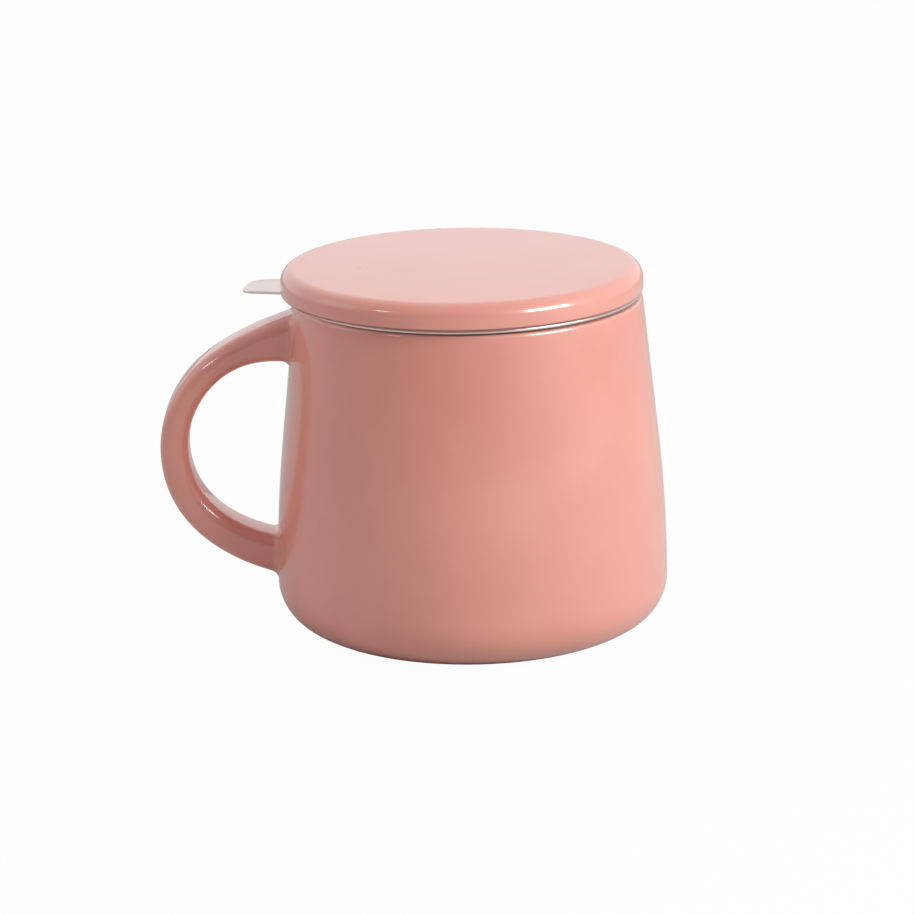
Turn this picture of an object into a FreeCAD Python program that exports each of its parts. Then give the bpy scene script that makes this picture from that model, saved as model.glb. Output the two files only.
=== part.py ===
import FreeCAD, Part
import math
import os

# Lidded tea mug with a lift-out infuser, in millimetres.
# The origin is on the mug's axis in the plane of its foot, +Z is up, and the
# handle points along -X. The infuser and the lid are loose and rest off centre.

# Mug body
mug_height = 84.6
rim_radius = 42.7            # outside of the wall at the rim
wall = 4.0
wall_lean = 6.14             # degrees from upright, in the straight upper wall
straight_level = 48.4        # the straight wall starts here
belly_level = 12.9           # widest level, where the wall stands upright
corner_radius = 11.4         # upper arc of the bottom corner
corner_turn = 57.0           # degrees that the upper arc turns
floor_thickness = 5.5
foot_width = 3.8             # unglazed ring that the mug stands on
foot_recess = 1.2
rim_round_outer = 1.9
rim_round_inner = 1.5

# Handle, in the plane Y = 0
handle_reach = 73.3          # centre line's farthest distance from the axis
handle_reach_level = 47.1    # height of that point
handle_top_drop = 10.1       # from the rim down to the centre line at the upper root
handle_low_level = 19.3      # centre line at the lower root
handle_top_fall = 3.4        # degrees, upper root's heading below level
handle_low_rise = 12.4       # degrees, lower root's heading above level
handle_top_pull = 24.9       # lengths of the curve's control arms
handle_shoulder_pull = 9.5
handle_side_pull = 15.6
handle_low_pull = 15.4
handle_root_depth = 2.0      # how far the centre line runs into the wall
handle_width = 12.4
handle_root_width = 13.2
handle_top_thickness = 13.0  # flared root
handle_thin_thickness = 6.6
handle_low_thickness = 9.6
handle_thin_station = 22.6   # distance along the centre line to the thinnest place
handle_edge_radius = 3.3
handle_edge_share = 0.47     # most that the edge radius may take of a thickness
handle_stations = 9          # sections along each half

# Infuser
steel = 0.6                  # sheet of the rim and the base ring
flange_radius = 43.5
flange_thickness = 0.7
mouth_clearance = 1.4        # between the infuser's skirt and the mug's mouth
infuser_shift = 1.1          # the infuser rests to the handle's side of its play
skirt_depth = 9.0
skirt_bend = 1.2             # outer bend between flange and skirt
tab_reach = 54.8             # from the infuser's axis to the tab's end
tab_width = 14.0
tab_back_corner = 6.0        # corner on the side away from the handle
tab_front_corner = 3.0
tab_turn = 10.2              # degrees that the tab stands away from the handle
screen = 0.4                 # perforated sheet
weld_gap = 0.05
basket_depth = 62.0          # from the mug's rim to the underside of the base ring
basket_low_radius = 34.0     # outside of the screen at its foot
base_ring_height = 5.0
base_ring_lip = 3.0          # inward lip that carries the floor
hole_radius = 0.9
wall_hole_columns = 36
wall_hole_rows = 7
wall_hole_margin = 4.0       # from the hole field to the solid bands
drill_length = 4.0
floor_hole_pitch = 4.2
floor_hole_rings = 7

# Lid
lid_radius = 44.6
lid_thickness = 6.6
lid_round = 3.6              # roundover of the upper edge
lid_foot_round = 0.9
lid_shift = 1.65             # the lid rests to the handle's side of its play too
lip_gap = 0.35               # between the lid's lip and the screen on that side
lip_depth = 5.5
lip_width = 4.5
lip_round = 1.2

lean = math.radians(wall_lean)
side_rise = straight_level - belly_level
side_arc_radius = side_rise / math.sin(lean)
belly_radius = (rim_radius + (mug_height - straight_level) * math.tan(lean)
                + side_rise * math.tan(lean / 2))
mouth_radius = rim_radius - wall / math.cos(lean)
skirt_radius = mouth_radius - mouth_clearance
skirt_inner_radius = skirt_radius - steel
flange_top = mug_height + flange_thickness
handle_top_level = mug_height - handle_top_drop
lip_radius = (skirt_inner_radius - weld_gap - screen
              - (lid_shift - infuser_shift) - lip_gap)
base_level = mug_height - basket_depth
os.makedirs("parts", exist_ok=True)


def point(radius, level):
    return FreeCAD.Vector(radius, 0, level)


def line(start, end):
    return Part.LineSegment(start, end).toShape()


def arc(start, middle, end):
    return Part.Arc(start, middle, end).toShape()


def arc_about(centre, radius, first, last):
    """Arc in the plane Y = 0 from one angle to another, in radians."""
    spots = [centre + radius * point(math.cos(angle), math.sin(angle))
             for angle in (first, (first + last) / 2, last)]
    return arc(*spots)


def turned(edges):
    """Solid of revolution about Z of a closed outline in the plane Y = 0."""
    face = Part.Face(Part.Wire(Part.__sortEdges__(edges)))
    return face.revolve(FreeCAD.Vector(0, 0, 0), FreeCAD.Vector(0, 0, 1), 360)


def closed(points):
    return [line(a, b) for a, b in zip(points, points[1:] + points[:1])]


def edges_at(solid, radius, level):
    """Round edges about Z with this radius at this level."""
    return [edge for edge in solid.Edges
            if isinstance(edge.Curve, Part.Circle)
            and abs(edge.Curve.Radius - radius) < 1e-4
            and abs(edge.Curve.Center.z - level) < 1e-4]


def mug_side(depth):
    """Edges of the leaning wall, at a depth below the outer surface."""
    centre = point(belly_radius - side_arc_radius, belly_level)
    inset = side_arc_radius - depth
    top_radius = rim_radius - depth / math.cos(lean)
    bend = arc_about(centre, inset, 0, lean)
    bend_end = centre + inset * point(math.cos(lean), math.sin(lean))
    return [bend, line(bend_end, point(top_radius, mug_height))]


def mug_outside():
    """Outer edges from the foot's edge to the rim, and the foot's radius."""
    turn = math.radians(corner_turn)
    upper_centre = point(belly_radius - corner_radius, belly_level)
    low_arc_radius = ((belly_level - corner_radius * math.sin(turn))
                      / (1 - math.sin(turn)))
    foot_radius = (upper_centre.x
                   - (low_arc_radius - corner_radius) * math.cos(turn))
    low_centre = point(foot_radius, low_arc_radius)
    edges = [arc_about(low_centre, low_arc_radius, -math.pi / 2, -turn),
             arc_about(upper_centre, corner_radius, -turn, 0)]
    return edges + mug_side(0), foot_radius


def mug_solid():
    """The mug's outer shape with no hollow, which cuts the handle's roots."""
    edges, foot_radius = mug_outside()
    caps = [line(point(0, 0), point(foot_radius, 0)),
            line(point(rim_radius, mug_height), point(0, mug_height)),
            line(point(0, mug_height), point(0, 0))]
    return turned(edges + caps)


def mug_body():
    outer, foot_radius = mug_outside()
    ring_inner = foot_radius - foot_width
    inner_corner = belly_level - floor_thickness
    floor_radius = belly_radius - wall - inner_corner
    under = [line(point(0, foot_recess), point(ring_inner - foot_recess, foot_recess)),
             line(point(ring_inner - foot_recess, foot_recess), point(ring_inner, 0)),
             line(point(ring_inner, 0), point(foot_radius, 0))]
    inner = [arc_about(point(floor_radius, belly_level), inner_corner, -math.pi / 2, 0),
             line(point(floor_radius, floor_thickness), point(0, floor_thickness)),
             line(point(0, floor_thickness), point(0, foot_recess))]
    inner += mug_side(wall)
    rim = [line(point(rim_radius, mug_height), point(mouth_radius, mug_height))]
    body = turned(under + outer + rim + inner)
    body = body.makeFillet(rim_round_outer, edges_at(body, rim_radius, mug_height))
    return body.makeFillet(rim_round_inner, edges_at(body, mouth_radius, mug_height))


def outer_radius_at(level):
    """Outside of the mug at a level, from the belly up."""
    rise = level - belly_level
    if rise < side_rise:
        return (belly_radius - side_arc_radius
                + math.sqrt(side_arc_radius ** 2 - rise ** 2))
    return rim_radius + (mug_height - level) * math.tan(lean)


def handle_curves():
    """Centre line of the handle: an upper and a lower half."""
    top = point(handle_root_depth - outer_radius_at(handle_top_level), handle_top_level)
    low = point(handle_root_depth - outer_radius_at(handle_low_level), handle_low_level)
    far = point(-handle_reach, handle_reach_level)
    fall = math.radians(handle_top_fall)
    low_rise = math.radians(handle_low_rise)
    upper = Part.BezierCurve()
    upper.setPoles([top,
                    top - handle_top_pull * point(math.cos(fall), math.sin(fall)),
                    far + point(0, handle_shoulder_pull),
                    far])
    lower = Part.BezierCurve()
    lower.setPoles([far,
                    far - point(0, handle_side_pull),
                    low + handle_low_pull * point(-math.cos(low_rise), math.sin(low_rise)),
                    low])
    return upper, lower


def handle_section(centre, along, thickness, width):
    """Rounded rectangle square to the centre line."""
    radius = min(handle_edge_radius, handle_edge_share * thickness)
    side = FreeCAD.Vector(0, 1, 0)
    out = along.cross(side)
    spots = []
    for a, b in ((1, 1), (-1, 1), (-1, -1), (1, -1)):
        corner = (centre + a * (thickness / 2 - radius) * out
                  + b * (width / 2 - radius) * side)
        ends = [corner + a * radius * out, corner + b * radius * side]
        middle = corner + radius * math.sqrt(0.5) * (a * out + b * side)
        if a != b:
            ends.reverse()
        spots.append((ends[0], middle, ends[1]))
    edges = []
    for here, after in zip(spots, spots[1:] + spots[:1]):
        edges.append(arc(*here))
        edges.append(line(here[2], after[0]))
    return Part.Wire(edges)


def swell(distance, length, top, thin, low):
    """A size that goes from the upper root to the thinnest place and the lower root."""
    if distance < handle_thin_station:
        return thin + (top - thin) * (1 - distance / handle_thin_station) ** 2
    rest = length - handle_thin_station
    return thin + (low - thin) * ((distance - handle_thin_station) / rest) ** 2


def mug_handle():
    curves = handle_curves()
    length = sum(curve.length() for curve in curves)
    sections = []
    before = 0
    for curve in curves:
        first = 1 if sections else 0
        for station in range(first, handle_stations + 1):
            share = station / handle_stations
            distance = before + (curve.length(0, share) if share else 0)
            thickness = swell(distance, length, handle_top_thickness,
                              handle_thin_thickness, handle_low_thickness)
            width = swell(distance, length, handle_root_width,
                          handle_width, handle_root_width)
            along = curve.tangent(share)[0]
            sections.append(handle_section(curve.value(share), along, thickness, width))
        before += curve.length()
    return Part.makeLoft(sections, True).cut(mug_solid())


def lid():
    """Disc with a locating lip under it, rounded above."""
    top = flange_top + lid_thickness
    lip_inner = lip_radius - lip_width
    lip_level = flange_top - lip_depth
    outline = [point(0, flange_top), point(lip_inner, flange_top),
               point(lip_inner, lip_level), point(lip_radius, lip_level),
               point(lip_radius, flange_top), point(lid_radius, flange_top),
               point(lid_radius, top), point(0, top)]
    body = turned(closed(outline))
    body = body.makeFillet(lid_round, edges_at(body, lid_radius, top))
    body = body.makeFillet(lid_foot_round, edges_at(body, lid_radius, flange_top))
    lip_edges = edges_at(body, lip_radius, lip_level) + edges_at(body, lip_inner, lip_level)
    return body.makeFillet(lip_round, lip_edges)


def tab_blank():
    """Flat tab from inside the flange to its end, along -X before it is turned."""
    root = (flange_radius + skirt_radius) / 2
    blank = Part.makeBox(tab_reach - root, tab_width, flange_thickness,
                         FreeCAD.Vector(-tab_reach, -tab_width / 2, mug_height))
    for radius, side in ((tab_back_corner, tab_width / 2), (tab_front_corner, -tab_width / 2)):
        corner = [edge for edge in blank.Edges
                  if abs(edge.CenterOfMass.x + tab_reach) < 1e-4
                  and abs(edge.CenterOfMass.y - side) < 1e-4]
        blank = blank.makeFillet(radius, corner)
    return blank


def infuser_rim():
    """Flange, skirt and tab, one stamping."""
    skirt_foot = mug_height - skirt_depth
    outline = [point(skirt_inner_radius, flange_top), point(flange_radius, flange_top),
               point(flange_radius, mug_height), point(skirt_radius, mug_height),
               point(skirt_radius, skirt_foot), point(skirt_inner_radius, skirt_foot)]
    ring = turned(closed(outline))
    ring = ring.makeFillet(skirt_bend, edges_at(ring, skirt_inner_radius, flange_top))
    ring = ring.makeFillet(skirt_bend - steel, edges_at(ring, skirt_radius, mug_height))
    tab = tab_blank()
    tab.rotate(FreeCAD.Vector(0, 0, 0), FreeCAD.Vector(0, 0, 1), -tab_turn)
    rim = ring.fuse(tab).removeSplitter()
    return rim.Solids[0]


def screen_radius_at(level):
    """Outside of the infuser's screen at a level."""
    foot = base_level + steel
    skirt_foot = mug_height - skirt_depth
    top_radius = skirt_inner_radius - weld_gap
    if level > skirt_foot:
        return top_radius
    share = (level - foot) / (skirt_foot - foot)
    return basket_low_radius + (top_radius - basket_low_radius) * share


def infuser_wall():
    """Tapered screen, tucked into the skirt and the base ring."""
    foot = base_level + steel
    bend = mug_height - skirt_depth
    top = mug_height - skirt_bend
    outer = [point(screen_radius_at(level), level) for level in (foot, bend, top)]
    inner = [spot - point(screen, 0) for spot in reversed(outer)]
    body = turned(closed(outer + inner))
    low = base_level + base_ring_height + wall_hole_margin
    high = bend - wall_hole_margin
    drills = []
    for row in range(wall_hole_rows):
        level = low + (high - low) * row / (wall_hole_rows - 1)
        reach = screen_radius_at(level) - screen / 2
        stagger = 0.5 * (row % 2)
        for column in range(wall_hole_columns):
            angle = 2 * math.pi * (column + stagger) / wall_hole_columns
            way = FreeCAD.Vector(math.cos(angle), math.sin(angle), 0)
            start = FreeCAD.Vector(0, 0, level) + (reach - drill_length / 2) * way
            drills.append(Part.makeCylinder(hole_radius, drill_length, start, way))
    return body.cut(Part.makeCompound(drills))


def infuser_base_ring():
    """Ring round the screen's foot, with an inward lip under the floor."""
    inner_foot = basket_low_radius + weld_gap
    inner_top = screen_radius_at(base_level + base_ring_height) + weld_gap
    top = base_level + base_ring_height
    lip_inner = basket_low_radius - screen - base_ring_lip
    outline = [point(lip_inner, base_level), point(inner_foot + steel, base_level),
               point(inner_top + steel, top), point(inner_top, top),
               point(inner_foot, base_level + steel), point(lip_inner, base_level + steel)]
    return turned(closed(outline))


def infuser_floor():
    """Perforated disc on the base ring's lip, one face with rings of holes."""
    level = base_level + steel
    radius = basket_low_radius - screen - weld_gap
    axis = FreeCAD.Vector(0, 0, 1)
    circles = [Part.Circle(FreeCAD.Vector(0, 0, level), axis, radius),
               Part.Circle(FreeCAD.Vector(0, 0, level), axis, hole_radius)]
    for ring in range(1, floor_hole_rings + 1):
        for place in range(6 * ring):
            angle = 2 * math.pi * place / (6 * ring)
            reach = ring * floor_hole_pitch
            spot = FreeCAD.Vector(reach * math.cos(angle), reach * math.sin(angle), level)
            circles.append(Part.Circle(spot, axis, hole_radius))
    wires = [Part.Wire(circle.toShape()) for circle in circles]
    face = Part.makeFace(wires, "Part::FaceMakerBullseye")
    return face.extrude(FreeCAD.Vector(0, 0, screen))


def rested(piece, shift):
    """A loose piece moved towards the handle, to where it rests."""
    piece.translate(FreeCAD.Vector(-shift, 0, 0))
    return piece


nodes = {
    "mug_body": mug_body(),
    "mug_handle": mug_handle(),
    "lid": rested(lid(), lid_shift),
    "infuser_rim": rested(infuser_rim(), infuser_shift),
    "infuser_wall": rested(infuser_wall(), infuser_shift),
    "infuser_base_ring": rested(infuser_base_ring(), infuser_shift),
    "infuser_floor": rested(infuser_floor(), infuser_shift),
}
for name, shape in nodes.items():
    shape.exportStep("parts/" + name + ".step")
    box = shape.BoundBox
    print(name, len(shape.Solids), "solid, valid", shape.isValid(),
          "volume", round(shape.Volume, 1),
          "x", round(box.XMin, 2), round(box.XMax, 2),
          "y", round(box.YMin, 2), round(box.YMax, 2),
          "z", round(box.ZMin, 2), round(box.ZMax, 2))
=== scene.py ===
import math

import bmesh
import bpy
from mathutils import Matrix, Vector


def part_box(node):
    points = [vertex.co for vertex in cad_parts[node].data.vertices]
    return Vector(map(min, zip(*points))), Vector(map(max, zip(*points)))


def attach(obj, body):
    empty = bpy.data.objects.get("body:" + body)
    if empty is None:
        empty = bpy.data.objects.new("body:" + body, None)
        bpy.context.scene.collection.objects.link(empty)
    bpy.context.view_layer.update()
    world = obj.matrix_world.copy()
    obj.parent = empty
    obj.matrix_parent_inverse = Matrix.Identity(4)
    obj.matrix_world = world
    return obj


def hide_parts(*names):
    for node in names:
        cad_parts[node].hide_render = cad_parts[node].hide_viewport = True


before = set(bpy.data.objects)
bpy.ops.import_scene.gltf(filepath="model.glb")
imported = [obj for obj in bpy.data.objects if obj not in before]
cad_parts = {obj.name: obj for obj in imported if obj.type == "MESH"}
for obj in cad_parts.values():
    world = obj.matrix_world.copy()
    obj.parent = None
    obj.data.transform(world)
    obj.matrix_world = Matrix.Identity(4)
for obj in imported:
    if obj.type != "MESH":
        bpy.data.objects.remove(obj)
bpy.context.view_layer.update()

# Lengths are in metres, and angles in degrees until they are used.
mm = 0.001
tiny = 0.001 * mm
round_steps = 192            # steps of a turned piece
sharp_angle = 40             # corners sharper than this keep a crease in the shading
broken_angle = 50            # corners sharper than this are rounded where edges are broken

# Camera, in the photograph's place
camera_place = Vector((0, -1.0956, 0.3403))
camera_tilt = 74.80
camera_roll = 0.897
camera_pan = -0.067
camera_lens = 180.0
camera_sensor = 36.0
camera_near = 0.01

# Light: strengths of the room, and powers of the lamps in watts
room_front = 0.12
room_back = 0.98
room_slope = (-1.0, 0.6)      # from front to back, the room grows lighter between these
lamp_distance = 0.9
lamp_size = 0.45
glint_size = 0.14
key_power = 6.9
key_colour = (0.86, 1.0, 0.97)
side_power = 0.5
glint_power = 0.35

# Floor
floor_size = 4.0
floor_drop = 0.05 * mm        # kept clear of the foot, so that no two faces share a plane
floor_colour = (0.62, 0.61, 0.60)
floor_roughness = 0.9
camera_white = 0.97           # part of the floor that the camera sees as white

# Mug body
body_low, body_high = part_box("mug_body")
mug_height = body_high[2]
belly_radius = body_high[0]
rim_radius = 42.7 * mm
wall = 4.0 * mm
wall_lean = math.radians(6.14)
straight_level = 48.4 * mm
belly_level = 12.9 * mm
corner_radius = 11.4 * mm
corner_turn = 57.0
floor_thickness = 5.5 * mm
foot_width = 3.8 * mm
foot_recess = 1.2 * mm
rim_round_outer = 1.9 * mm
rim_round_inner = 1.5 * mm
bare_level = 0.25 * mm       # the foot is wiped clean of glaze up to here
side_arc_radius = (straight_level - belly_level) / math.sin(wall_lean)

# Handle, in the plane Y = 0
handle_far = Vector((-73.3, 0, 47.1)) * mm
handle_top_level = mug_height - 10.1 * mm
handle_low_level = 19.3 * mm
handle_top_fall = math.radians(3.4)
handle_low_rise = math.radians(12.4)
handle_top_pull = 24.9 * mm
handle_shoulder_pull = 9.5 * mm
handle_side_pull = 15.6 * mm
handle_low_pull = 15.4 * mm
handle_root_depth = 2.0 * mm
handle_width = 12.4 * mm
handle_root_width = 13.2 * mm
handle_top_thickness = 13.0 * mm
handle_thin_thickness = 6.6 * mm
handle_low_thickness = 9.6 * mm
handle_thin_station = 22.6 * mm
handle_edge_radius = 3.1 * mm
handle_line_steps = 300       # points along each half of the centre line
handle_stations = 80          # along the free part of the handle
root_reach = 6.0 * mm         # part at each end with closer stations
root_step = 0.1 * mm
handle_weld_radius = 1.8 * mm  # fillet where the glaze runs from handle to body
weld_sunk = 0.04 * mm         # the fillet's end goes this far under the body's skin

# Infuser
rim_low, rim_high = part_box("infuser_rim")
base_low, base_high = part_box("infuser_base_ring")
floor_low, floor_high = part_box("infuser_floor")
flange_top = rim_high[2]
flange_radius = rim_high[1]
infuser_centre = Vector((rim_high[0] - flange_radius, 0, 0))
skirt_foot = rim_low[2]
skirt_outer = 37.277 * mm
steel = 0.6 * mm
skirt_bend = 1.2 * mm
sheet_edge = 0.28 * mm       # rolled edge of the sheet steel
tab_reach = 54.8 * mm        # from the infuser's axis
tab_width = 14.0 * mm
tab_back_corner = 6.0 * mm
tab_front_corner = 3.0 * mm
tab_turn = 10.2
flange_edge_band = 0.2 * mm  # faces this close to the flange's radius are its edge
screen = 0.4 * mm
screen_top = 83.4 * mm
screen_low_radius = 34.0 * mm
weld_gap = 0.05 * mm
base_ring_lip = 3.0 * mm
cell = 2.0 * mm              # pitch of the hole pattern
hole_inset = 0.16 * cell     # from a cell's side to its hole
hole_margin = 4.0 * mm
seam_columns = 2             # left unpunched where the screen's ends overlap
net_thickness = 0.32 * mm
net_border = 3.5 * mm
net_edge = 0.06 * mm

# Lid
lid_low, lid_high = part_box("lid")
lid_foot = flange_top
lid_top = lid_high[2]
lid_radius = (lid_high[0] - lid_low[0]) / 2
lid_centre = Vector(((lid_high[0] + lid_low[0]) / 2, 0, 0))
lid_round = 3.6 * mm
lid_foot_round = 0.9 * mm
lip_radius = 35.327 * mm
lip_width = 4.5 * mm
lip_round = 1.2 * mm
lip_fillet = 0.8 * mm
pinhole_place = Vector((-26.5 * mm, -2.9 * mm, lid_top))
pinhole_radius = 0.45 * mm

# Surfaces
glaze_colour = (0.77, 0.295, 0.24)
glaze_deeper = (0.74, 0.272, 0.22)
# dark brown: painted shade next to the steel flange, and the colour of the lid's pinhole dot
painted_shade_and_pinhole_brown = (0.22, 0.07, 0.05)
glaze_roughness = 0.42
gloss_roughness = 0.09
gloss_index = 1.5
glaze_depth = 0.06           # part of the light that goes under the surface
glaze_scatter = (1.2 * mm, 0.6 * mm, 0.4 * mm)
# painted shade: bands just under the rim's top and just over the lid's foot, where the gaps by
# the steel flange lie in shadow (lowest, full and highest levels)
rim_painted_shade = (mug_height - 0.8 * mm, mug_height - 0.5 * mm, mug_height + 0.1 * mm)
lid_painted_shade = (lid_foot - 0.2 * mm, lid_foot + 0.45 * mm, lid_foot + 0.8 * mm)
clay_colour = (0.74, 0.66, 0.58)
clay_dark = (0.60, 0.51, 0.43)
clay_light = (0.80, 0.73, 0.65)
clay_roughness = 0.85
rim_steel_colour = (0.79, 0.69, 0.67)
base_steel_colour = (0.80, 0.77, 0.75)
sheet_steel_colour = (0.70, 0.69, 0.68)
steel_shade = 0.95           # depth of the drawn lines, as a part of the steel's colour


def spot(radius, level):
    """Point in the plane Y = 0."""
    return Vector((radius, 0, level))


def arc(centre, radius, first, last, count):
    """Points along an arc in the plane Y = 0, from one angle in degrees to another."""
    angles = [math.radians(first + (last - first) * k / count) for k in range(count + 1)]
    return [centre + radius * spot(math.cos(angle), math.sin(angle)) for angle in angles]


def turned(points, closed=False):
    """Mesh turned about Z from a profile in the plane Y = 0."""
    bm = bmesh.new()
    verts = [bm.verts.new(point) for point in points]
    edges = [bm.edges.new(pair) for pair in zip(verts, verts[1:])]
    if closed:
        edges.append(bm.edges.new((verts[-1], verts[0])))
    bmesh.ops.spin(bm, geom=verts + edges, cent=(0, 0, 0), axis=(0, 0, 1),
                   angle=2 * math.pi, steps=round_steps, use_merge=True)
    bmesh.ops.remove_doubles(bm, verts=bm.verts, dist=tiny)
    bmesh.ops.recalc_face_normals(bm, faces=bm.faces)
    return bm


def finish_piece(name, bm, materials, body):
    """Makes the object of a mesh, dresses it and hangs it on its body."""
    mesh = bpy.data.meshes.new(name)
    bm.to_mesh(mesh)
    bm.free()
    mesh.polygons.foreach_set("use_smooth", [True] * len(mesh.polygons))
    mesh.set_sharp_from_angle(angle=math.radians(sharp_angle))
    for material in materials:
        mesh.materials.append(material)
    piece = bpy.data.objects.new(name, mesh)
    bpy.context.scene.collection.objects.link(piece)
    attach(piece, body)
    return piece


# Materials

def shader_material(name, colour, roughness, metallic=0.0):
    """A new material and its shader."""
    material = bpy.data.materials.new(name)
    material.use_nodes = True
    shader = material.node_tree.nodes["Principled BSDF"]
    shader.inputs["Base Color"].default_value = (*colour, 1)
    shader.inputs["Roughness"].default_value = roughness
    shader.inputs["Metallic"].default_value = metallic
    return material, shader


def add(material, kind, **inputs):
    """A node with its inputs set by name."""
    node = material.node_tree.nodes.new(kind)
    for key, value in inputs.items():
        node.inputs[key.replace("_", " ")].default_value = value
    return node


def join(material, out, into):
    material.node_tree.links.new(out, into)


def noise_of(material, scale, detail=2.0, stretch=(1, 1, 1)):
    """Noise on the piece's own coordinates, in metres."""
    place = add(material, "ShaderNodeTexCoord")
    mapping = add(material, "ShaderNodeMapping", Scale=stretch)
    noise = add(material, "ShaderNodeTexNoise", Scale=scale, Detail=detail)
    join(material, place.outputs["Object"], mapping.inputs["Vector"])
    join(material, mapping.outputs["Vector"], noise.inputs["Vector"])
    return noise


def blend_colours(material, factor, first, second, low, high):
    """Ramp between two colours over part of a factor's range."""
    ramp = add(material, "ShaderNodeValToRGB")
    ramp.color_ramp.elements[0].position = low
    ramp.color_ramp.elements[0].color = (*first, 1)
    ramp.color_ramp.elements[1].position = high
    ramp.color_ramp.elements[1].color = (*second, 1)
    join(material, factor, ramp.inputs["Fac"])
    return ramp


def add_bump(material, shader, height, strength, distance):
    bump = add(material, "ShaderNodeBump", Strength=strength, Distance=distance)
    join(material, height, bump.inputs["Height"])
    join(material, bump.outputs["Normal"], shader.inputs["Normal"])


def band_at(material, low, full, high):
    """A factor that rises from one level to full strength and falls off at another."""
    place = add(material, "ShaderNodeTexCoord")
    split = add(material, "ShaderNodeSeparateXYZ")
    join(material, place.outputs["Object"], split.inputs["Vector"])
    shares = []
    for zero in (low, high):
        slope = add(material, "ShaderNodeMapRange")
        slope.inputs["From Min"].default_value = zero
        slope.inputs["From Max"].default_value = full
        join(material, split.outputs["Z"], slope.inputs["Value"])
        shares.append(slope.outputs["Result"])
    band = add(material, "ShaderNodeMath")
    band.operation = "MULTIPLY"
    join(material, shares[0], band.inputs[0])
    join(material, shares[1], band.inputs[1])
    return band.outputs["Value"]


def mix_painted_shade_and_pinhole(material, factor, skin_colour):
    """The glaze's colour with dark brown mixed in by a factor; it serves for painted shade in
    a band and for the pinhole's dark dot.
    """
    mix = add(material, "ShaderNodeMixRGB", Color2=(*painted_shade_and_pinhole_brown, 1))
    join(material, factor, mix.inputs["Fac"])
    join(material, skin_colour, mix.inputs["Color1"])
    return mix.outputs["Color"]


def pink_glaze(name, colour, deeper, edge=None):
    """Salmon glaze: soft drifts of colour, a fine orange-peel skin and a clear gloss.
    Painted shade turns it dark brown in a band at an edge, given as three levels."""
    material, shader = shader_material(name, colour, glaze_roughness)
    shader.inputs["Coat Weight"].default_value = 1.0
    shader.inputs["Coat Roughness"].default_value = gloss_roughness
    shader.inputs["Coat IOR"].default_value = gloss_index
    shader.inputs["Subsurface Weight"].default_value = glaze_depth
    shader.inputs["Subsurface Radius"].default_value = glaze_scatter
    shader.inputs["Subsurface Scale"].default_value = 1.0
    drift = noise_of(material, 38.0, 3.0)
    colours = blend_colours(material, drift.outputs["Fac"], deeper, colour, 0.35, 0.62)
    skin_colour = colours.outputs["Color"]
    # painted shade: dark brown in the band next to the steel flange
    if edge:
        skin_colour = mix_painted_shade_and_pinhole(material, band_at(material, *edge), skin_colour)
    join(material, skin_colour, shader.inputs["Base Color"])
    skin = noise_of(material, 420.0, 2.0)
    add_bump(material, shader, skin.outputs["Fac"], 0.05, 0.2 * mm)
    return material


def mark_pinhole(material, place, radius):
    """A dark dot in the glaze, where a bubble burst in firing."""
    shader = material.node_tree.nodes["Principled BSDF"]
    before = shader.inputs["Base Color"].links[0].from_socket
    coords = add(material, "ShaderNodeTexCoord")
    apart = add(material, "ShaderNodeVectorMath")
    apart.operation = "DISTANCE"
    apart.inputs[1].default_value = place
    join(material, coords.outputs["Object"], apart.inputs[0])
    dot = add(material, "ShaderNodeMapRange")
    dot.inputs["From Min"].default_value = radius
    dot.inputs["From Max"].default_value = 0.4 * radius
    join(material, apart.outputs["Value"], dot.inputs["Value"])
    marked = mix_painted_shade_and_pinhole(material, dot.outputs["Result"], before)
    join(material, marked, shader.inputs["Base Color"])


def bare_clay():
    """Unglazed foot: chalky off-white with fine grog."""
    material, shader = shader_material("bare_clay", clay_colour, clay_roughness)
    grain = noise_of(material, 1800.0, 4.0)
    colours = blend_colours(material, grain.outputs["Fac"], clay_dark, clay_light, 0.35, 0.65)
    join(material, colours.outputs["Color"], shader.inputs["Base Color"])
    add_bump(material, shader, grain.outputs["Fac"], 0.4, 0.2 * mm)
    return material


def satin_steel(name, colour, roughness, stretch):
    """Rolled stainless sheet: fine drawn lines along one way and faint mottling."""
    material, shader = shader_material(name, colour, roughness, 1.0)
    lines = noise_of(material, 260.0, 3.0, stretch)
    darker = tuple(steel_shade * part for part in colour)
    colours = blend_colours(material, lines.outputs["Fac"], darker, colour, 0.3, 0.6)
    join(material, colours.outputs["Color"], shader.inputs["Base Color"])
    rough = add(material, "ShaderNodeMapRange")
    rough.inputs["To Min"].default_value = roughness - 0.06
    rough.inputs["To Max"].default_value = roughness + 0.08
    join(material, lines.outputs["Fac"], rough.inputs["Value"])
    join(material, rough.outputs["Result"], shader.inputs["Roughness"])
    add_bump(material, shader, lines.outputs["Fac"], 0.02, 0.05 * mm)
    return material


# the body's rim and the lid's foot carry painted shade beside the steel flange
body_glaze = pink_glaze("body_glaze", glaze_colour, glaze_deeper, rim_painted_shade)
handle_glaze = pink_glaze("handle_glaze", glaze_colour, glaze_deeper)
lid_glaze = pink_glaze("lid_glaze", glaze_colour, glaze_deeper, lid_painted_shade)
mark_pinhole(lid_glaze, pinhole_place, pinhole_radius)
clay = bare_clay()
rim_steel = satin_steel("rim_steel", rim_steel_colour, 0.32, (1, 1, 6))
screen_steel = satin_steel("screen_steel", sheet_steel_colour, 0.32, (1, 1, 0.2))
base_steel = satin_steel("base_steel", base_steel_colour, 0.30, (1, 1, 6))
floor_steel = satin_steel("floor_steel", sheet_steel_colour, 0.32, (6, 1, 1))


# Mug body

def body_side(depth, count):
    """Leaning wall from the belly up, at a depth below the outer surface."""
    centre = spot(belly_radius - side_arc_radius, belly_level)
    return arc(centre, side_arc_radius - depth, 0, math.degrees(wall_lean), count)


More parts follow.
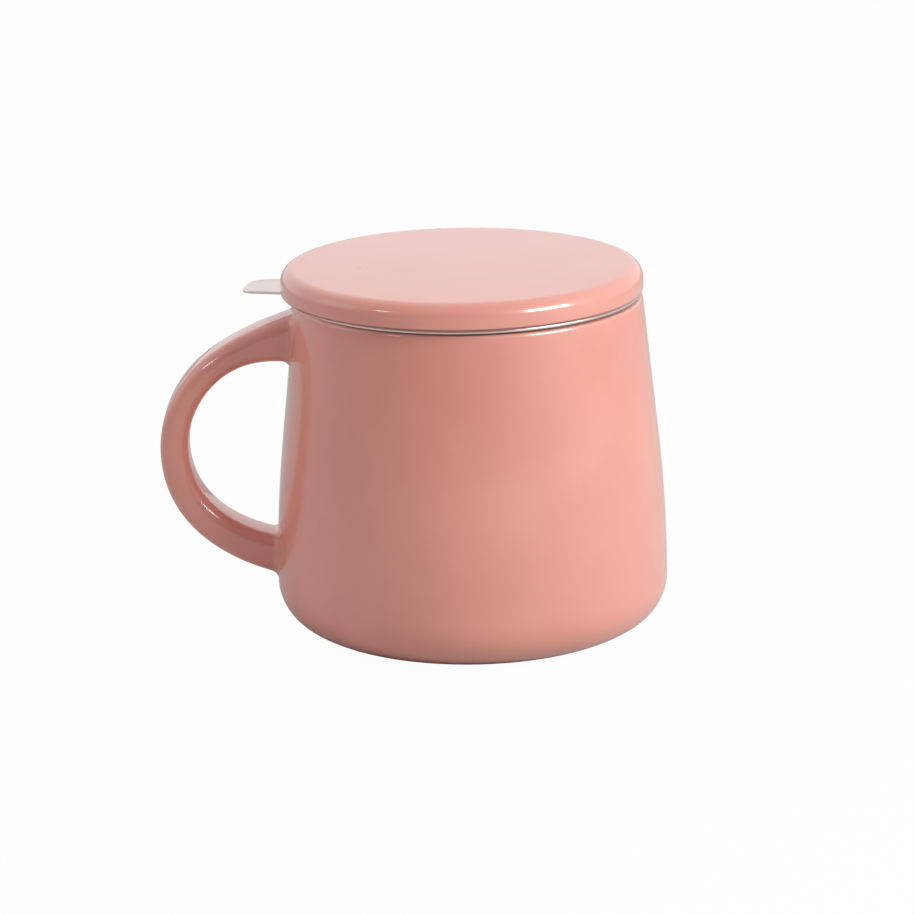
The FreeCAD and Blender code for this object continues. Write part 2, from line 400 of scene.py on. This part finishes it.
def body_profile():
    """Half section of the bowl, from the middle of its foot to the middle of its floor."""
    turn = math.radians(corner_turn)
    lean = math.degrees(wall_lean)
    upper_centre = spot(belly_radius - corner_radius, belly_level)
    low_radius = (belly_level - corner_radius * math.sin(turn)) / (1 - math.sin(turn))
    foot_radius = upper_centre.x - (low_radius - corner_radius) * math.cos(turn)
    ring_inner = foot_radius - foot_width
    mouth_radius = rim_radius - wall / math.cos(wall_lean)
    inner_corner = belly_level - floor_thickness
    outer_rim = spot(rim_radius - rim_round_outer * math.tan(math.radians(90 - lean) / 2),
                     mug_height - rim_round_outer)
    inner_rim = spot(mouth_radius + rim_round_inner * math.tan(math.radians(90 + lean) / 2),
                     mug_height - rim_round_inner)
    points = [spot(0, foot_recess), spot(ring_inner - foot_recess, foot_recess)]
    points += [spot(ring_inner, 0)]
    points += arc(spot(foot_radius, low_radius), low_radius, -90, -corner_turn, 16)
    points += arc(upper_centre, corner_radius, -corner_turn, 0, 14)[1:]
    points += body_side(0, 20)[1:]
    points += arc(outer_rim, rim_round_outer, lean, 90, 10)
    points += arc(inner_rim, rim_round_inner, 90, 180 + lean, 10)
    points += list(reversed(body_side(wall, 12)))
    points += arc(spot(belly_radius - wall - inner_corner, belly_level),
                  inner_corner, 0, -90, 12)[1:]
    points += [spot(0, floor_thickness)]
    return points


def make_mug_body():
    bm = turned(body_profile())
    for face in bm.faces:
        high = max(vert.co.z for vert in face.verts)
        if high < bare_level and face.normal.z < -0.9:
            face.material_index = 1
    piece = finish_piece("mug_body_glazed", bm, [body_glaze, clay], "mug")
    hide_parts("mug_body")


def body_radius_at(level):
    """Outside of the mug at a level, from the belly up."""
    rise = level - belly_level
    if level < straight_level:
        return belly_radius - side_arc_radius + math.sqrt(side_arc_radius ** 2 - rise ** 2)
    return rim_radius + (mug_height - level) * math.tan(wall_lean)


# Handle

def bezier(points, share):
    """Point at a share of the way along a curve with four control points."""
    rest = 1 - share
    weights = (rest ** 3, 3 * share * rest ** 2, 3 * share ** 2 * rest, share ** 3)
    return sum((weight * point for weight, point in zip(weights, points)), Vector())


def handle_line():
    """Points of the handle's centre line, and the distance along it to each."""
    top = spot(handle_root_depth - body_radius_at(handle_top_level), handle_top_level)
    low = spot(handle_root_depth - body_radius_at(handle_low_level), handle_low_level)
    top_way = spot(-math.cos(handle_top_fall), -math.sin(handle_top_fall))
    low_way = spot(-math.cos(handle_low_rise), math.sin(handle_low_rise))
    upper = [top, top + handle_top_pull * top_way,
             handle_far + spot(0, handle_shoulder_pull), handle_far]
    lower = [handle_far, handle_far - spot(0, handle_side_pull),
             low + handle_low_pull * low_way, low]
    shares = [k / handle_line_steps for k in range(handle_line_steps + 1)]
    path = [bezier(upper, share) for share in shares[:-1]]
    path += [bezier(lower, share) for share in shares]
    distances = [0.0]
    for here, after in zip(path, path[1:]):
        distances.append(distances[-1] + (after - here).length)
    return path, distances


def swell(distance, length, top, thin, low):
    """A size that narrows from the upper root to the thin station and grows again."""
    if distance < handle_thin_station:
        return thin + (top - thin) * (1 - distance / handle_thin_station) ** 2
    share = (distance - handle_thin_station) / (length - handle_thin_station)
    return thin + (low - thin) * share ** 2


def handle_frames():
    """Section frames along the handle, closer together at its roots."""
    path, distances = handle_line()
    length = distances[-1]
    root = [root_step * k for k in range(round(root_reach / root_step))]
    free = length - 2 * root_reach
    stations = root + [root_reach + free * k / handle_stations
                       for k in range(handle_stations + 1)]
    stations += [length - distance for distance in reversed(root)]
    frames = []
    index = 0
    for distance in stations:
        while index < len(path) - 2 and distances[index + 1] < distance:
            index += 1
        share = (distance - distances[index]) / (distances[index + 1] - distances[index])
        centre = path[index].lerp(path[index + 1], share)
        before = path[max(index - 1, 0)]
        after = path[min(index + 2, len(path) - 1)]
        along = (after - before).normalized()
        side = Vector((0, 1, 0))
        out = along.cross(side)
        thickness = swell(distance, length, handle_top_thickness,
                          handle_thin_thickness, handle_low_thickness)
        width = swell(distance, length, handle_root_width, handle_width, handle_root_width)
        columns = (thickness * out, width * side, along, centre)
        frames.append(Matrix([[column[row] for column in columns] for row in range(3)]
                             + [[0, 0, 0, 1]]))
    return frames


def weld_to_body(bm, frames):
    """Spreads the handle's roots into fillets and lays their ends under the body's skin."""
    centres = [matrix.translation for matrix in frames]
    for vert in bm.verts:
        gap = math.hypot(vert.co.x, vert.co.y) - body_radius_at(vert.co.z)
        near = handle_weld_radius - max(gap, 0)
        if near <= 0:
            continue
        centre = min(centres, key=lambda point: (point - vert.co).length)
        outward = vert.co - centre
        outward.x = 0
        spread = handle_weld_radius - math.sqrt(handle_weld_radius ** 2 - near ** 2)
        vert.co += spread * outward.normalized()
        level_gap = math.hypot(vert.co.x, vert.co.y) - body_radius_at(vert.co.z)
        vert.co.x += level_gap - max(gap, -weld_sunk)


def make_mug_handle():
    frames = handle_frames()
    bm = bmesh.new()
    corners = [(0.5, 0.5, 0), (-0.5, 0.5, 0), (-0.5, -0.5, 0), (0.5, -0.5, 0)]
    verts = [bm.verts.new(frames[0] @ Vector(corner)) for corner in corners]
    tip = bm.faces.new(verts)
    long_edges = []
    for here, after in zip(frames, frames[1:]):
        grown = bmesh.ops.extrude_face_region(bm, geom=[tip])["geom"]
        new_verts = [item for item in grown if isinstance(item, bmesh.types.BMVert)]
        if here is not frames[0]:
            bmesh.ops.delete(bm, geom=[tip], context="FACES_ONLY")
        tip = next(item for item in grown if isinstance(item, bmesh.types.BMFace))
        bmesh.ops.transform(bm, matrix=after @ here.inverted(), verts=new_verts)
        tip_edges = set(tip.edges)
        for vert in new_verts:
            long_edges += [edge for edge in vert.link_edges if edge not in tip_edges]
    bmesh.ops.bevel(bm, geom=long_edges, offset=handle_edge_radius, segments=8,
                    profile=0.5, affect="EDGES", material=-1, clamp_overlap=True)
    weld_to_body(bm, frames)
    bmesh.ops.recalc_face_normals(bm, faces=bm.faces)
    piece = finish_piece("mug_handle_glazed", bm, [handle_glaze], "mug")
    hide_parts("mug_handle")


# Lid

def lid_profile():
    """Half section of the lid, from the middle of its top to the middle underneath."""
    lip_foot = lid_low[2]
    lip_inner = lip_radius - lip_width
    points = [spot(0, lid_top)]
    points += arc(spot(lid_radius - lid_round, lid_top - lid_round), lid_round, 90, 0, 14)
    points += arc(spot(lid_radius - lid_foot_round, lid_foot + lid_foot_round),
                  lid_foot_round, 0, -90, 4)
    points += arc(spot(lip_radius + lip_fillet, lid_foot - lip_fillet), lip_fillet, 90, 180, 5)
    points += arc(spot(lip_radius - lip_round, lip_foot + lip_round), lip_round, 0, -90, 6)
    points += arc(spot(lip_inner + lip_round, lip_foot + lip_round), lip_round, -90, -180, 6)
    points += arc(spot(lip_inner - lip_fillet, lid_foot - lip_fillet), lip_fillet, 0, 90, 5)
    points += [spot(0, lid_foot)]
    return points


def make_lid():
    bm = turned(lid_profile())
    lip_foot = lid_low[2]
    for face in bm.faces:
        high = max(vert.co.z for vert in face.verts)
        if high < lip_foot + bare_level:
            face.material_index = 1
    bmesh.ops.translate(bm, verts=bm.verts, vec=lid_centre)
    piece = finish_piece("lid_glazed", bm, [lid_glaze, clay], "lid")
    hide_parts("lid")


# Infuser

def seat(bm):
    """Moves an infuser piece off centre, to where the infuser rests in the mouth."""
    bmesh.ops.translate(bm, verts=bm.verts, vec=infuser_centre)


def break_edges(bm, offset):
    """Rounds every sharp corner."""
    least = math.radians(broken_angle)
    sharp = [edge for edge in bm.edges
             if len(edge.link_faces) == 2 and edge.calc_face_angle() > least]
    bmesh.ops.bevel(bm, geom=sharp, offset=offset, segments=3, profile=0.5,
                    affect="EDGES", material=-1, clamp_overlap=True)


def tab_outline(side, steps):
    """End of the tab as points in plan, from its front corner to its back corner, which
    is the larger and takes two thirds of the steps."""
    front_steps = round(steps / 3)
    back_steps = steps - 1 - front_steps
    points = []
    for k in range(front_steps + 1):
        angle = math.radians(90 * k / front_steps)
        points.append((tab_front_corner * (1 - math.sin(angle)),
                       -side + tab_front_corner * (1 - math.cos(angle))))
    for k in range(back_steps + 1):
        angle = math.radians(90 * k / back_steps)
        points.append((tab_back_corner * (1 - math.cos(angle)),
                       side - tab_back_corner * (1 - math.sin(angle))))
    return [Vector((-tab_reach + inset, y, 0)) for inset, y in points]


def pull_out_tab(bm):
    """Draws the tab out of the flange's edge, towards -X."""
    half = math.degrees(math.asin(tab_width / 2 / flange_radius))
    edge_faces = []
    for face in bm.faces:
        middle = face.calc_center_median()
        bearing = math.degrees(math.atan2(middle.y, -middle.x))
        at_edge = abs(math.hypot(middle.x, middle.y) - flange_radius) < flange_edge_band
        if at_edge and abs(bearing) < half and abs(face.normal.z) < 0.5:
            edge_faces.append(face)
    grown = bmesh.ops.extrude_face_region(bm, geom=edge_faces)["geom"]
    new_verts = [item for item in grown if isinstance(item, bmesh.types.BMVert)]
    bmesh.ops.delete(bm, geom=edge_faces, context="FACES_ONLY")
    sides = sorted({round(vert.co.y / tiny) for vert in new_verts})
    outline = tab_outline(max(sides) * tiny, len(sides) - 1)
    for vert in new_verts:
        place = outline[sides.index(round(vert.co.y / tiny))]
        vert.co.x = place.x
        vert.co.y = place.y


def make_infuser_rim():
    inner = skirt_outer - steel
    points = [spot(flange_radius, flange_top), spot(flange_radius, mug_height)]
    points += arc(spot(skirt_outer + skirt_bend - steel, mug_height - skirt_bend + steel),
                  skirt_bend - steel, 90, 180, 5)
    points += [spot(skirt_outer, skirt_foot), spot(inner, skirt_foot)]
    points += arc(spot(inner + skirt_bend, flange_top - skirt_bend), skirt_bend, 180, 90, 6)
    bm = turned(points, closed=True)
    pull_out_tab(bm)
    break_edges(bm, sheet_edge)
    turn = Matrix.Rotation(math.radians(-tab_turn), 4, "Z")
    bmesh.ops.transform(bm, matrix=turn, verts=bm.verts)
    seat(bm)
    bmesh.ops.recalc_face_normals(bm, faces=bm.faces)
    piece = finish_piece("infuser_rim_steel", bm, [rim_steel], "infuser")
    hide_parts("infuser_rim")


def screen_radius_at(level):
    """Outside of the screen at a level."""
    top_radius = skirt_outer - steel - weld_gap
    foot = floor_low[2]
    if level > skirt_foot:
        return top_radius
    share = (level - foot) / (skirt_foot - foot)
    return screen_low_radius + (top_radius - screen_low_radius) * share


def thicken(piece, thickness, offset):
    """Rounds the punched holes and gives the sheet its thickness, to one side (-1) or
    to both (0)."""
    smooth = piece.modifiers.new("round_holes", "SUBSURF")
    smooth.levels = 1
    smooth.render_levels = 1
    sheet = piece.modifiers.new("sheet", "SOLIDIFY")
    sheet.thickness = thickness
    sheet.offset = offset


def make_infuser_wall():
    around = 2 * round(math.pi * screen_low_radius / cell)
    foot = floor_low[2]
    rows = round((screen_top - foot) / cell)
    step = (screen_top - foot) / rows
    bm = bmesh.new()
    bmesh.ops.create_grid(bm, x_segments=around, y_segments=rows, size=0.5)
    low_row = math.ceil((base_high[2] + hole_margin - foot) / step)
    high_row = math.floor((skirt_foot - hole_margin - foot) / step)

    def is_holed(face):
        middle = face.calc_center_median()
        column = int((middle.x + 0.5) * around)
        row = int((middle.y + 0.5) * rows)
        punched = low_row <= row < high_row and column > seam_columns
        return punched and (column + row) % 2 == 0

    holed = [face for face in bm.faces if is_holed(face)]
    for vert in bm.verts:
        angle = 2 * math.pi * vert.co.x
        level = foot + (screen_top - foot) * (vert.co.y + 0.5)
        radius = screen_radius_at(level)
        vert.co = Vector((radius * math.cos(angle), radius * math.sin(angle), level))
    bmesh.ops.inset_individual(bm, faces=holed, thickness=hole_inset, depth=0)
    bmesh.ops.delete(bm, geom=holed, context="FACES")
    bmesh.ops.remove_doubles(bm, verts=bm.verts, dist=tiny)
    seat(bm)
    bmesh.ops.recalc_face_normals(bm, faces=bm.faces)
    piece = finish_piece("infuser_wall_screen", bm, [screen_steel], "infuser")
    thicken(piece, screen, -1)
    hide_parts("infuser_wall")


def make_infuser_floor():
    radius = floor_high[1]
    field = radius - net_border
    half = math.ceil(field / cell)
    bm = bmesh.new()
    bmesh.ops.create_grid(bm, x_segments=2 * half, y_segments=2 * half, size=half * cell)
    level = (floor_low[2] + floor_high[2]) / 2
    bmesh.ops.translate(bm, verts=bm.verts, vec=(0, 0, level))
    outside = [face for face in bm.faces
               if face.calc_center_median().xy.length > field + cell / 2]
    bmesh.ops.delete(bm, geom=outside, context="FACES")

    def is_holed(face):
        middle = face.calc_center_median()
        column = math.floor(middle.x / cell)
        row = math.floor(middle.y / cell)
        return (column + row) % 2 == 0 and middle.xy.length < field - cell / 2

    holed = [face for face in bm.faces if is_holed(face)]
    bmesh.ops.inset_individual(bm, faces=holed, thickness=hole_inset, depth=0)
    bmesh.ops.delete(bm, geom=holed, context="FACES")
    seat(bm)
    bmesh.ops.recalc_face_normals(bm, faces=bm.faces)
    net = finish_piece("infuser_floor_net", bm, [floor_steel], "infuser")
    thicken(net, net_thickness, 0)
    outline = [spot(field, floor_low[2]), spot(radius, floor_low[2]),
               spot(radius, floor_high[2]), spot(field, floor_high[2])]
    ring = turned(outline, closed=True)
    break_edges(ring, net_edge)
    seat(ring)
    border = finish_piece("infuser_floor_border", ring, [floor_steel], "infuser")
    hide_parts("infuser_floor")


def make_infuser_base_ring():
    low, high = base_low[2], base_high[2]
    inner_foot = screen_low_radius + weld_gap
    inner_top = screen_radius_at(high) + weld_gap
    lip_inner = screen_low_radius - screen - base_ring_lip
    points = [spot(lip_inner, low), spot(inner_foot + steel, low),
              spot(inner_top + steel, high), spot(inner_top, high),
              spot(inner_foot, low + steel), spot(lip_inner, low + steel)]
    bm = turned(points, closed=True)
    break_edges(bm, sheet_edge)
    seat(bm)
    piece = finish_piece("infuser_base_ring_steel", bm, [base_steel], "infuser")
    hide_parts("infuser_base_ring")


# Floor, light and camera

def make_floor():
    """Pale floor that shows white to the camera and keeps the mug's soft shadow."""
    bm = bmesh.new()
    bmesh.ops.create_grid(bm, x_segments=1, y_segments=1, size=floor_size)
    bmesh.ops.translate(bm, verts=bm.verts, vec=(0, 0, -floor_drop))
    mesh = bpy.data.meshes.new("floor")
    bm.to_mesh(mesh)
    bm.free()
    floor = bpy.data.objects.new("floor", mesh)
    bpy.context.scene.collection.objects.link(floor)
    material, shader = shader_material("floor_paper", floor_colour, floor_roughness)
    shader.inputs["Specular IOR Level"].default_value = 0.0
    glow = add(material, "ShaderNodeEmission", Color=(1, 1, 1, 1), Strength=1.0)
    path = add(material, "ShaderNodeLightPath")
    share = add(material, "ShaderNodeMath")
    share.operation = "MULTIPLY"
    share.inputs[1].default_value = camera_white
    mix = add(material, "ShaderNodeMixShader")
    out = material.node_tree.nodes["Material Output"]
    join(material, path.outputs["Is Camera Ray"], share.inputs[0])
    join(material, share.outputs["Value"], mix.inputs["Fac"])
    join(material, shader.outputs["BSDF"], mix.inputs[1])
    join(material, glow.outputs["Emission"], mix.inputs[2])
    join(material, mix.outputs["Shader"], out.inputs["Surface"])
    mesh.materials.append(material)


def make_world():
    """White round the camera's view, and a room that is dimmer on the camera's side."""
    world = bpy.data.worlds.new("studio")
    bpy.context.scene.world = world
    world.use_nodes = True
    tree = world.node_tree
    back = tree.nodes["Background"]
    back.inputs["Color"].default_value = (1, 1, 1, 1)
    place = tree.nodes.new("ShaderNodeTexCoord")
    split = tree.nodes.new("ShaderNodeSeparateXYZ")
    room = tree.nodes.new("ShaderNodeMapRange")
    room.inputs["From Min"].default_value = room_slope[0]
    room.inputs["From Max"].default_value = room_slope[1]
    room.inputs["To Min"].default_value = room_front
    room.inputs["To Max"].default_value = room_back
    path = tree.nodes.new("ShaderNodeLightPath")
    pick = tree.nodes.new("ShaderNodeMix")
    pick.inputs["B"].default_value = 1.0
    tree.links.new(place.outputs["Generated"], split.inputs["Vector"])
    tree.links.new(split.outputs["Y"], room.inputs["Value"])
    tree.links.new(path.outputs["Is Camera Ray"], pick.inputs["Factor"])
    tree.links.new(room.outputs["Result"], pick.inputs["A"])
    tree.links.new(pick.outputs["Result"], back.inputs["Strength"])


def make_lamp(name, bearing, height, size, watts, colour=(1, 1, 1), squat=1):
    """Lamp facing the mug, at a bearing from the camera's side towards +X; squat is how
    many times wider than tall it is."""
    turn = math.radians(bearing)
    rise = math.radians(height)
    way = Vector((math.cos(rise) * math.sin(turn), -math.cos(rise) * math.cos(turn),
                  math.sin(rise)))
    light = bpy.data.lights.new(name, "AREA")
    light.energy = watts
    light.color = colour
    light.shape = "RECTANGLE"
    light.size = size
    light.size_y = size / squat
    lamp = bpy.data.objects.new(name, light)
    target = Vector((0, 0, mug_height / 2))
    lamp.location = target + lamp_distance * way
    lamp.rotation_euler = way.to_track_quat("Z", "Y").to_euler()
    bpy.context.scene.collection.objects.link(lamp)


def make_camera():
    data = bpy.data.cameras.new("camera")
    data.lens = camera_lens
    data.sensor_width = camera_sensor
    data.clip_start = camera_near
    camera = bpy.data.objects.new("camera", data)
    camera.location = camera_place
    camera.rotation_euler = [math.radians(turn)
                             for turn in (camera_tilt, camera_roll, camera_pan)]
    bpy.context.scene.collection.objects.link(camera)
    bpy.context.scene.camera = camera


make_camera()
make_world()
make_floor()
make_lamp("key", 57, 28, lamp_size, key_power, key_colour, squat=2)
make_lamp("side", -88, 25, lamp_size, side_power)
make_lamp("left_glint", -53, 31, glint_size, glint_power, squat=2)
make_mug_body()
make_mug_handle()
make_lid()
make_infuser_rim()
make_infuser_wall()
make_infuser_floor()
make_infuser_base_ring()

bpy.context.scene.view_settings.view_transform = "Standard"
bpy.context.view_layer.update()
